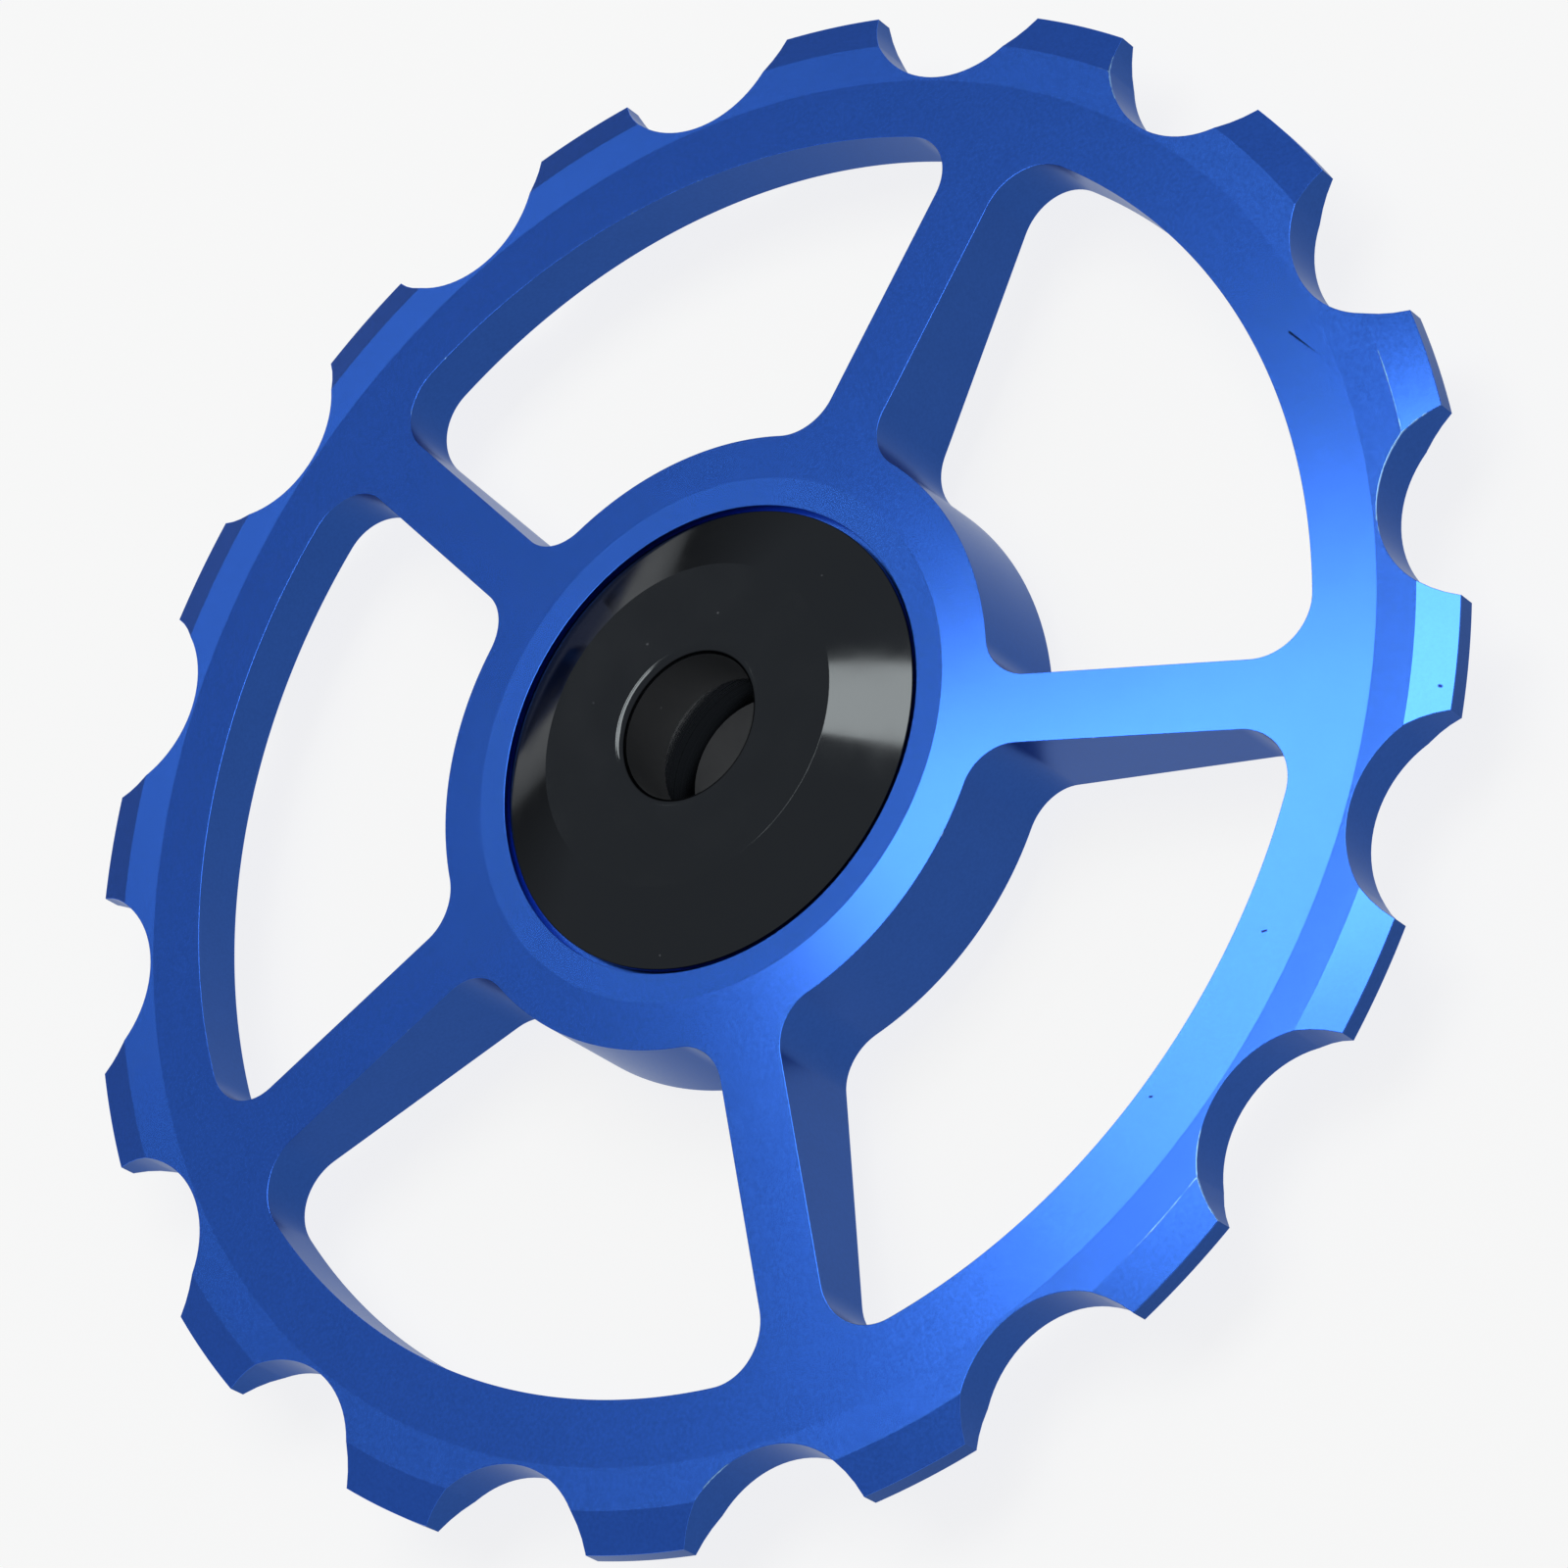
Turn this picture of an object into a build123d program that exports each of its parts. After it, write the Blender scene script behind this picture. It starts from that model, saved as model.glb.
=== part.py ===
from build123d import *
import math
import os

# A derailleur jockey wheel, lying flat with its axle along Z. All sizes are in millimetres.
# The origin is the middle of the axle bore, on the plane that halves the wheel's thickness.

# Counts
TOOTH_COUNT = 16
SPOKE_COUNT = 5
BALL_COUNT = 7

# Chain that runs on the wheel
CHAIN_PITCH = 12.7
CHAIN_ROLLER_DIAMETER = 7.75

# Toothed rim
ROLLER_SEAT_DROP = 0.075
ROLLER_SEAT_RADIUS = 4.2
TOOTH_HEIGHT = 3.05
TOOTH_BEVEL_LENGTH = 1.55
RIM_THICKNESS = 1.85
TIP_THICKNESS = 0.8
RIM_LAND_BELOW_ROOT = 0.15
RIM_WALL = 2.7

# Spokes and the windows between them
SPOKE_WIDTH = 2.75
WINDOW_OUTER_CORNER = 2.2
WINDOW_INNER_CORNER = 2.0

# Hub
HUB_LAND_WIDTH = 1.15
HUB_SHOULDER_WIDTH = 1.85
CAP_RECESS_DEPTH = 0.5

# Ball bearing
BEARING_BORE_DIAMETER = 8.0
BEARING_OUTER_DIAMETER = 16.0
BALL_DIAMETER = 2.0
RACE_CLEARANCE = 0.03
RING_SHOULDER_OFFSET = 0.55
RING_EDGE_BREAK = 0.2

# Bearing seals
SEAL_THICKNESS = 0.3
SEAL_INSET = 0.1
SEAL_SEAT_DEPTH = 0.35
SEAL_LIP_CLEARANCE = 0.05

# Ball cage
CAGE_BACK_WALL = 0.45
CAGE_SIDE_CLEARANCE = 0.1
CAGE_SEAL_CLEARANCE = 0.1
CAGE_FINGER_HEIGHT = 0.6
POCKET_CLEARANCE = 0.05

# End caps
OVERALL_WIDTH = 7.75
AXLE_BORE_DIAMETER = 6.0
AXLE_BORE_CHAMFER = 0.3
CAP_OVERLAP = 1.4
CAP_CONE_WIDTH = 2.8
CAP_RIM_THICKNESS = 0.31
CAP_RADIAL_GAP = 0.2
CAP_FACE_GAP = 0.12
CAP_SHOULDER_INSET = 0.15
SPIGOT_LENGTH = 1.0
SPIGOT_CLEARANCE = 0.01

# Heights and radii of the bearing, worked out from the ball outwards
BALL_RADIUS = BALL_DIAMETER / 2
POCKET_RADIUS = BALL_RADIUS + POCKET_CLEARANCE
CAGE_BACK = POCKET_RADIUS + CAGE_BACK_WALL
SEAL_INNER_FACE = CAGE_BACK + CAGE_SEAL_CLEARANCE
SEAL_OUTER_FACE = SEAL_INNER_FACE + SEAL_THICKNESS
BEARING_HALF = SEAL_OUTER_FACE + SEAL_INSET
BEARING_BORE = BEARING_BORE_DIAMETER / 2
BEARING_OUTER = BEARING_OUTER_DIAMETER / 2
BALL_CIRCLE = (BEARING_BORE + BEARING_OUTER) / 2
RACE_DEPTH = BALL_RADIUS + RACE_CLEARANCE
RACE_FLOOR_HALF = RACE_DEPTH * math.tan(math.pi / 8)
RACE_MOUTH_HALF = RACE_FLOOR_HALF + RACE_DEPTH - RING_SHOULDER_OFFSET
INNER_SHOULDER = BALL_CIRCLE - RING_SHOULDER_OFFSET
OUTER_SHOULDER = BALL_CIRCLE + RING_SHOULDER_OFFSET
SEAL_SEAT = OUTER_SHOULDER + SEAL_SEAT_DEPTH

# Radii of the end caps and of the hub round them
CAP_RADIUS = BEARING_OUTER + CAP_OVERLAP
CAP_FLAT = CAP_RADIUS - CAP_CONE_WIDTH
CAP_SHOULDER = INNER_SHOULDER - CAP_SHOULDER_INSET
AXLE_BORE = AXLE_BORE_DIAMETER / 2
SPIGOT_RADIUS = BEARING_BORE - SPIGOT_CLEARANCE
RECESS_RADIUS = CAP_RADIUS + CAP_RADIAL_GAP
HUB_LAND = RECESS_RADIUS + HUB_LAND_WIDTH
HUB_RADIUS = HUB_LAND + HUB_SHOULDER_WIDTH
HUB_HALF = BEARING_HALF + CAP_RECESS_DEPTH

# Radii of the toothed rim, worked out from the chain
PITCH_RADIUS = CHAIN_PITCH / (2 * math.sin(math.pi / TOOTH_COUNT))
ROOT_RADIUS = PITCH_RADIUS - CHAIN_ROLLER_DIAMETER / 2 - ROLLER_SEAT_DROP
SEAT_CENTRE = ROOT_RADIUS + ROLLER_SEAT_RADIUS
TIP_RADIUS = ROOT_RADIUS + TOOTH_HEIGHT
BEVEL_RADIUS = TIP_RADIUS - TOOTH_BEVEL_LENGTH
RIM_LAND = ROOT_RADIUS - RIM_LAND_BELOW_ROOT
WINDOW_RADIUS = ROOT_RADIUS - RIM_WALL


def turned(outline):
    """Turn a flat outline, drawn with x as radius and y as height, about the Z axis."""
    return revolve(Plane.XZ * outline, Axis.Z, 360)


def mirrored_outline(upper):
    """Close an outline of (radius, height) points by its mirror image below the mid-plane."""
    lower = [(radius, -height) for radius, height in reversed(upper)]
    return make_face(Polyline(*upper, *lower, close=True))


def spaced(count, radius):
    """Places at equal steps on a circle about the axle."""
    return [Rot(0, 0, 360 * i / count) * Pos(radius, 0, 0) for i in range(count)]


def spoke_windows():
    """The openings between hub, spokes and rim, with rounded corners."""
    openings = Circle(WINDOW_RADIUS) - Circle(HUB_RADIUS)
    for place in spaced(SPOKE_COUNT, WINDOW_RADIUS):
        openings -= place * Rectangle(2 * WINDOW_RADIUS, SPOKE_WIDTH)
    middle = (HUB_RADIUS + WINDOW_RADIUS) / 2
    outer = [corner for corner in openings.vertices() if Vector(corner).length > middle]
    openings = fillet(outer, WINDOW_OUTER_CORNER)
    hub_corner = math.hypot(HUB_RADIUS, SPOKE_WIDTH)
    inner = [corner for corner in openings.vertices() if Vector(corner).length < hub_corner]
    openings = fillet(inner, WINDOW_INNER_CORNER)
    return extrude(openings, HUB_HALF, both=True)


def roller_seats():
    """The round valleys between the teeth, milled straight through the rim."""
    return [place * Cylinder(ROLLER_SEAT_RADIUS, 2 * HUB_HALF) for place in spaced(TOOTH_COUNT, SEAT_CENTRE)]


def pulley_wheel():
    """Hub, tapered web, flat rim land and bevelled teeth, turned as one blank and then milled."""
    upper = [
        (BEARING_OUTER, BEARING_HALF),
        (RECESS_RADIUS, BEARING_HALF),
        (RECESS_RADIUS, HUB_HALF),
        (HUB_LAND, HUB_HALF),
        (RIM_LAND, RIM_THICKNESS / 2),
        (BEVEL_RADIUS, RIM_THICKNESS / 2),
        (TIP_RADIUS, TIP_THICKNESS / 2),
    ]
    blank = turned(mirrored_outline(upper))
    return blank - spoke_windows() - roller_seats()


def end_cap():
    """A front cap: spigot, shoulder on the inner ring, flange with a cone, flat face and axle bore."""
    under = BEARING_HALF + CAP_FACE_GAP
    face = OVERALL_WIDTH / 2
    spigot_end = BEARING_HALF - SPIGOT_LENGTH
    outline = Polyline(
        (AXLE_BORE, spigot_end),
        (SPIGOT_RADIUS, spigot_end),
        (SPIGOT_RADIUS, BEARING_HALF),
        (CAP_SHOULDER, BEARING_HALF),
        (CAP_SHOULDER, under),
        (CAP_RADIUS, under),
        (CAP_RADIUS, under + CAP_RIM_THICKNESS),
        (CAP_FLAT, face),
        (AXLE_BORE + AXLE_BORE_CHAMFER, face),
        (AXLE_BORE, face - AXLE_BORE_CHAMFER),
        close=True,
    )
    return turned(make_face(outline))


def bearing_outer_ring():
    """Outer ring with its ball groove and the two steps that hold the seals."""
    upper = [
        (BALL_CIRCLE + RACE_DEPTH, RACE_FLOOR_HALF),
        (OUTER_SHOULDER, RACE_MOUTH_HALF),
        (OUTER_SHOULDER, SEAL_INNER_FACE),
        (SEAL_SEAT, SEAL_INNER_FACE),
        (SEAL_SEAT, BEARING_HALF),
        (BEARING_OUTER - RING_EDGE_BREAK, BEARING_HALF),
        (BEARING_OUTER, BEARING_HALF - RING_EDGE_BREAK),
    ]
    return turned(mirrored_outline(upper))


def bearing_inner_ring():
    """Inner ring with its ball groove."""
    upper = [
        (BEARING_BORE, BEARING_HALF - RING_EDGE_BREAK),
        (BEARING_BORE + RING_EDGE_BREAK, BEARING_HALF),
        (INNER_SHOULDER, BEARING_HALF),
        (INNER_SHOULDER, RACE_MOUTH_HALF),
        (BALL_CIRCLE - RACE_DEPTH, RACE_FLOOR_HALF),
    ]
    return turned(mirrored_outline(upper))


def bearing_seal():
    """A front seal, held in the outer ring's step with its lip just clear of the inner ring."""
    lip = INNER_SHOULDER + SEAL_LIP_CLEARANCE
    washer = Circle(SEAL_SEAT) - Circle(lip)
    return Pos(0, 0, SEAL_INNER_FACE) * extrude(washer, SEAL_THICKNESS)


def ball_places():
    """Places of the balls on their circle."""
    return spaced(BALL_COUNT, BALL_CIRCLE)


def ball_cage():
    """Comb cage: a ring behind the balls with a straight slot for each, open at the front."""
    hoop = Circle(OUTER_SHOULDER - CAGE_SIDE_CLEARANCE) - Circle(INNER_SHOULDER + CAGE_SIDE_CLEARANCE)
    comb = Pos(0, 0, -CAGE_BACK) * extrude(hoop, CAGE_BACK + CAGE_FINGER_HEIGHT)
    slot = Box(BALL_DIAMETER, 2 * POCKET_RADIUS, 2 * POCKET_RADIUS)
    return comb - [place * slot for place in ball_places()]


def assembly():
    """Every piece of the wheel by name, in its place."""
    behind = Rot(180, 0, 0)
    pieces = {
        "pulley_wheel": pulley_wheel(),
        "front_end_cap": end_cap(),
        "rear_end_cap": behind * end_cap(),
        "bearing_outer_ring": bearing_outer_ring(),
        "bearing_inner_ring": bearing_inner_ring(),
        "ball_cage": ball_cage(),
        "front_bearing_seal": bearing_seal(),
        "rear_bearing_seal": behind * bearing_seal(),
    }
    for number, place in enumerate(ball_places(), start=1):
        pieces[f"ball_{number:02d}"] = place * Sphere(BALL_RADIUS)
    return pieces


os.makedirs("parts", exist_ok=True)
for name, piece in assembly().items():
    export_step(piece, f"parts/{name}.step")
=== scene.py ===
import math
import typing

import bpy
import numpy as np
from mathutils import Matrix, Vector


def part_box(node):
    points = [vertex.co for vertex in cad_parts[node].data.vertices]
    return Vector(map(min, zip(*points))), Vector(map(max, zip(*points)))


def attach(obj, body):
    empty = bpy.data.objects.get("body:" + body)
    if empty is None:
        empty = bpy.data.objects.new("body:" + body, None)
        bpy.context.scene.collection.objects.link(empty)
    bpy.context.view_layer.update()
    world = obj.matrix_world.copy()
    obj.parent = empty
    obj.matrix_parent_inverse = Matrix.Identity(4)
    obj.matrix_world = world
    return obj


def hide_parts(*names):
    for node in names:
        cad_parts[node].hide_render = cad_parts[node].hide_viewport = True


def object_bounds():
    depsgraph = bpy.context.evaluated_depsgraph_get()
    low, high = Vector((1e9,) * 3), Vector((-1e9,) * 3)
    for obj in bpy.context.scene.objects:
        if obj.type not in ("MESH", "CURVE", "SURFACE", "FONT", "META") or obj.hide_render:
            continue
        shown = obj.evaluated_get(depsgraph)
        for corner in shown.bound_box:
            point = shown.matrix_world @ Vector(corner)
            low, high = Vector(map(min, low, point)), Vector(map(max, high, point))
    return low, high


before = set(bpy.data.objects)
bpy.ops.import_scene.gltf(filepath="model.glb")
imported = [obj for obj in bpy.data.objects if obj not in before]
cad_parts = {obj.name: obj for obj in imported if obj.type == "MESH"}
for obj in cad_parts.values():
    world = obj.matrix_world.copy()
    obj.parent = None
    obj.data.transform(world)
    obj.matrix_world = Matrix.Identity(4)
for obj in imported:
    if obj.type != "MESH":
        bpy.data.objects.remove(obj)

bl_info = {
    "name": "Derailleur jockey wheel",
    "version": (1, 0, 0),
    "blender": (4, 5, 0),
    "location": "3D View > Sidebar > Jockey wheel",
    "description": "Builds a sixteen-tooth jockey wheel in blue anodised aluminium with black end caps",
    "category": "Object",
}

MM = 0.001

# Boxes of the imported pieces, which give the sizes that both models share
CAD_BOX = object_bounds()
CAP_LOW, CAP_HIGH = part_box("front_end_cap")
RING_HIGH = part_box("bearing_outer_ring")[1]

# Points nearer than this, in metres, are one point of a mesh
WELD_DISTANCE = 1e-7
# Steps round a turned cap, and along the arcs of its section at the bore's mouth and at other edges
CAP_STEPS = 192
MOUTH_STEPS, EDGE_STEPS = 8, 5

# How coarse a face is cut, from 0 for a turned face to 1, which also sets its painted shading.
# Coarse faces shine less. On the wheel they are painted darker, as painted shade on the walls, tips
# and hub land; in the caps' bore they are painted paler, as painted light.
HUB_LAND_CUT_AND_SHADE = 0.16
WALL_CUT_AND_SHADING = 0.8
TIP_CUT_AND_SHADE = 0.85

# Wear of the dyed film: its width beside an edge, and its strength on spared and on rubbed edges
WEAR_WIDTH = 0.08 * MM
WEAR_SPARED = 0.36
WEAR_RUBBED = 0.74
# Stretches of the front rim where edges are rubbed: middle and half-width as azimuths in degrees
RUBBED_STRETCHES = np.array(
    [(63.4, 1.2), (103.0, 4.0), (107.6, 1.8), (160.6, 4.6), (167.6, 3.0), (207.8, 1.4)]
)
# Marks on the front of the rim, in millimetres: start and end in the wheel's plane, and half-width
MARKS = (
    ((-27.24, 1.64), (-27.83, 3.57), 0.06),
    ((-25.14, 18.37), (-25.18, 18.42), 0.09),
    ((-15.11, 22.35), (-15.25, 22.41), 0.06),
    ((-8.50, 25.01), (-8.57, 25.05), 0.06),
)
# Share of a mark's half-width that is fully dark
MARK_CORE = 0.4

# The camera of the photograph, which looks down on the lying wheel: angles in degrees, lens and sensor
# in millimetres
CAMERA_AIM = (-1.044 * MM, 2.173 * MM, 0.0)
CAMERA_DISTANCE = 252.83 * MM
CAMERA_AZIMUTH = 113.827
CAMERA_ELEVATION = 47.881
CAMERA_ROLL = 57.523
CAMERA_LENS = 152.0
SENSOR_WIDTH = 36.0
CAMERA_NEAR = 10 * MM


class Softbox(typing.NamedTuple):
    """A rectangular lamp: direction and turn in degrees, distance and size in metres, and brightness."""

    name: str
    azimuth: float
    elevation: float
    distance: float
    width: float
    height: float
    turn: float
    radiance: float


SOFTBOXES = (
    Softbox("key_softbox", -129.5, 75.5, 0.4, 0.181, 0.337, -41.0, 4.4),
    Softbox("strip_softbox", -76.0, 61.4, 0.4, 0.124, 0.028, -4.0, 7.6),
    Softbox("low_softbox", -66.0, 42.2, 0.4, 0.1, 0.007, 0.0, 3.5),
)
# The lamps are neutral and the studio round them a little cool
LAMP_COLOUR = "#FBFBF4"
STUDIO_COLOUR = "#F2F7FF"
WORLD_STRENGTH = 0.33
# The studio is darker near the floor: its share of brightness there, and the elevation in degrees
# where that ends
LOW_SHARE, LOW_ELEVATION = 0.35, 18.0
# Half the floor's side, in metres
FLOOR_HALF = 3.0
# Share of white that the floor shows beside its own lit colour, which keeps the shadow, near the
# wheel and far off: a painted pool of light, and the distances from the axle in millimetres between
# which it fades
FLOOR_WHITE, FAR_WHITE = 0.84, 0.5
PAINTED_POOL_START, PAINTED_POOL_END = 60.0, 300.0
# Share of that white that is left in the shade under the cap
SHADE_WHITE = 0.4


def linear(hex_colour):
    """Turn an sRGB hex colour into the linear values that shaders use."""
    srgb = np.array([int(hex_colour[i:i + 2], 16) for i in (1, 3, 5)]) / 255
    low = srgb / 12.92
    high = ((srgb + 0.055) / 1.055) ** 2.4
    return tuple(float(value) for value in np.where(srgb <= 0.04045, low, high))


def rgba(value):
    """A colour with full alpha."""
    return (*value, 1.0)


def length(name, description, default):
    """A length property, shown in the scene's units and kept in metres."""
    return bpy.props.FloatProperty(
        name=name, description=description, default=default, unit="LENGTH", precision=5, min=0.0
    )


def colour(name, description, hex_colour):
    """A colour property that starts from an sRGB hex value."""
    return bpy.props.FloatVectorProperty(
        name=name, description=description, default=linear(hex_colour), subtype="COLOR", min=0.0, max=1.0
    )


class WheelSizes(bpy.types.PropertyGroup):
    """Sizes of the toothed wheel."""

    teeth: bpy.props.IntProperty(name="Teeth", description="Teeth round the rim", default=16, min=8)
    spokes: bpy.props.IntProperty(name="Spokes", description="Spokes of the wheel", default=5, min=3)
    chain_pitch: length("Chain pitch", "Distance between two chain rollers", 12.7 * MM)
    roller_diameter: length("Roller diameter", "Diameter of a chain roller", 7.75 * MM)
    seat_drop: length("Seat drop", "How far the valley floor lies below the roller", 0.075 * MM)
    seat_radius: length("Seat radius", "Radius of the valley between two teeth", 4.2 * MM)
    tooth_height: length("Tooth height", "From valley floor to tooth tip", 3.05 * MM)
    bevel_length: length("Bevel length", "Radial length of the bevel on each side of a tooth", 1.55 * MM)
    rim_thickness: length("Rim thickness", "Thickness of the flat rim land", 1.85 * MM)
    tip_thickness: length("Tip thickness", "Thickness of a tooth at its tip", 0.8 * MM)
    land_below_root: length("Land below root", "Reach of the flat land inside the valleys", 0.15 * MM)
    rim_wall: length("Rim wall", "Radial wall between a valley and a window", 2.7 * MM)
    spoke_width: length("Spoke width", "Width of a spoke", 2.75 * MM)
    outer_corner: length("Outer corner", "Corner radius of a window at the rim", 2.2 * MM)
    inner_corner: length("Inner corner", "Corner radius of a window at the hub", 2.0 * MM)
    hub_land: length("Hub land", "Outer radius of the flat land round the cap", 10.75 * MM)
    hub_radius: length("Hub radius", "Radius of the hub inside the windows", 12.6 * MM)
    hub_thickness: length("Hub thickness", "Thickness of the hub across its lands", 5.0 * MM)
    recess_radius: length("Recess radius", "Radius of the recess that the cap sits in", 9.6 * MM)
    edge_round: length("Edge round", "Radius of the rounded edges left by deburring", 0.02 * MM)


class CapSizes(bpy.types.PropertyGroup):
    """Sizes of the end caps."""

    bore: length("Axle bore", "Radius of the bore for the bolt", 3.0 * MM)
    mouth_round: length("Mouth round", "Radius of the rounded bore mouth", 0.32 * MM)
    flat: length("Flat face", "Radius of the flat face inside the cone", 6.6 * MM)
    face_round: length("Face round", "Radius of the edge between flat face and cone", 0.02 * MM)
    rim_thickness: length("Rim thickness", "Thickness of the cap at its rim", 0.31 * MM)
    rim_round: length("Rim round", "Radius of the cap's outer edges", 0.06 * MM)
    face_gap: length("Face gap", "Gap between the cap and the bearing's outer ring", 0.12 * MM)
    shoulder: length("Shoulder", "Radius of the shoulder that presses on the inner ring", 5.3 * MM)
    spigot: length("Spigot", "Radius of the spigot in the inner ring", 3.99 * MM)


class FinishColours(bpy.types.PropertyGroup):
    """Colours of the finishes."""

    wheel: colour("Wheel", "Dyed anodic film on the wheel's turned faces", "#4078EE")
    # Painted shade: the darker colour mixed onto the wheel's walls, tips and hub land
    cut: colour("Coarse cut", "Dyed anodic film where the wheel is cut coarsest", "#1E3A6C")
    slant: colour("Slanting view, wheel", "Tint of the wheel's film seen at a slant", "#DFE9F9")
    rubbed: colour("Rubbed edge", "Wheel edges where the dyed film is rubbed thin", "#86B2EA")
    mark: colour("Mark", "Scratch and pits in the wheel's film", "#16245C")
    cap: colour("Caps", "Dyed anodic film on the end caps", "#434649")
    cap_slant: colour("Slanting view, caps", "Tint of the caps' film seen at a slant", "#D2D2D2")
    dust: colour("Dust", "Dust on the end caps", "#8A8A8C")
    # Painted light: a paler colour in the caps' bore, which lights the hole
    bore: colour("Bore", "Reamed bore of the end caps, which takes less dye", "#6E7073")
    steel: colour("Bearing rings", "Ground bearing steel", "#B4B6B8")
    steel_lines: colour("Grinding lines", "Darker grinding lines on the bearing rings", "#A3A6AA")
    cage: colour("Ball cage", "Moulded nylon of the cage", "#D8D2C0")
    cage_grain: colour("Ball cage grain", "Darker grain of the cage", "#C4BDA8")
    seal: colour("Seals", "Rubber of the bearing seals", "#151517")
    seal_grain: colour("Seal grain", "Paler grain of the seals", "#202023")
    balls: colour("Balls", "Lapped ceramic of the balls", "#E4E4E0")
    balls_grain: colour("Ball grain", "Darker grain of the balls", "#D6D6D0")
    floor: colour("Floor", "Studio floor", "#DEDEDE")


class Patch(typing.NamedTuple):
    """A grid of points, how far its film is worn, and how coarse it is cut, which also sets its painted
    shading.
    """

    grid: np.ndarray
    wear: np.ndarray = np.zeros((1, 1))
    cut: float = 0.0


# Wear of a patch that lies on an exposed edge
EXPOSED = np.ones((1, 1))


def grid_normals(grid):
    """Unit normals of a grid: the cross product of its slopes along its rows and its columns."""
    down, across = np.gradient(grid, axis=(0, 1))
    normal = np.cross(down, across)
    return normal / np.linalg.norm(normal, axis=-1, keepdims=True)


def mesh_piece(name, patches, material):
    """
    Join patches into one closed mesh.

    Neighbouring points of a patch's grid make a quad. Points that patches share are merged, and each
    patch keeps its own normals at its rim, so an edge stays crisp where two patches meet at an angle.
    """
    points = np.concatenate([patch.grid.reshape(-1, 3) for patch in patches])
    normals = np.concatenate([grid_normals(patch.grid).reshape(-1, 3) for patch in patches])
    spread = [np.broadcast_to(patch.wear, patch.grid.shape[:2]) for patch in patches]
    wears = np.concatenate([wear.ravel() for wear in spread])
    quads, cut_and_shading_shares = [], []
    start = 0
    for patch in patches:
        rows, columns = patch.grid.shape[:2]
        index = np.arange(start, start + rows * columns).reshape(rows, columns)
        corners = (index[:-1, :-1], index[1:, :-1], index[1:, 1:], index[:-1, 1:])
        quads.append(np.stack(corners, axis=-1).reshape(-1, 4))
        cut_and_shading_shares.append(np.full(len(quads[-1]), patch.cut, dtype=np.float32))
        start += rows * columns
    quads = np.concatenate(quads)

    cells = np.round(points / WELD_DISTANCE).astype(np.int64)
    kept, first, merged = np.unique(cells, axis=0, return_index=True, return_inverse=True)
    merged = merged.reshape(-1)
    kept_wear = np.zeros(len(kept), dtype=np.float32)
    np.maximum.at(kept_wear, merged, wears)

    mesh = bpy.data.meshes.new(name)
    mesh.vertices.add(len(kept))
    mesh.vertices.foreach_set("co", points[first].astype(np.float32).ravel())
    mesh.loops.add(quads.size)
    mesh.loops.foreach_set("vertex_index", merged[quads].astype(np.int32).ravel())
    mesh.polygons.add(len(quads))
    mesh.polygons.foreach_set("loop_start", np.arange(0, quads.size, 4, dtype=np.int32))
    mesh.update(calc_edges=True)
    mesh.polygons.foreach_set("use_smooth", np.ones(len(quads), dtype=bool))
    mesh.normals_split_custom_set(normals[quads.ravel()])
    mesh.attributes.new("wear", "FLOAT", "POINT").data.foreach_set("value", kept_wear)
    mesh.attributes.new("cut", "FLOAT", "FACE").data.foreach_set("value", np.concatenate(cut_and_shading_shares))
    mesh.materials.append(material)
    if mesh.validate(clean_customdata=False):
        raise RuntimeError(f"the mesh of {name} has faces that fold onto themselves")
    piece = bpy.data.objects.new(name, mesh)
    bpy.context.scene.collection.objects.link(piece)
    return piece


def mirrored(patches):
    """The same patches on the other side of the mid-plane, with their rows reversed to face outwards."""
    flip = np.array([1.0, 1.0, -1.0])
    return [Patch(patch.grid[::-1] * flip, patch.wear[::-1], patch.cut) for patch in patches]


def lifted(paths, heights):
    """Points in space from complex points of the wheel's plane and their heights."""
    return np.stack([paths.real, paths.imag, np.broadcast_to(heights, paths.shape)], axis=-1)


def spun(grid, spin):
    """A grid turned about the axle by a complex unit number."""
    return lifted((grid[..., 0] + 1j * grid[..., 1]) * spin, grid[..., 2])


def turned(radii, heights, steps):
    """A profile carried round the axle: point (r, z) of the profile goes to (r cos a, -r sin a, z)."""
    circle = np.exp(-1j * np.linspace(0, 2 * math.pi, steps + 1))
    circle[-1] = circle[0]
    return lifted(np.asarray(radii)[:, None] * circle, np.asarray(heights)[:, None])


def arc(centre, radius, first, last, steps):
    """Radii and heights of an arc of a profile, from one angle in degrees to another."""
    angles = np.radians(np.linspace(first, last, steps + 1))
    return centre[0] + radius * np.cos(angles), centre[1] + radius * np.sin(angles)


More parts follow.
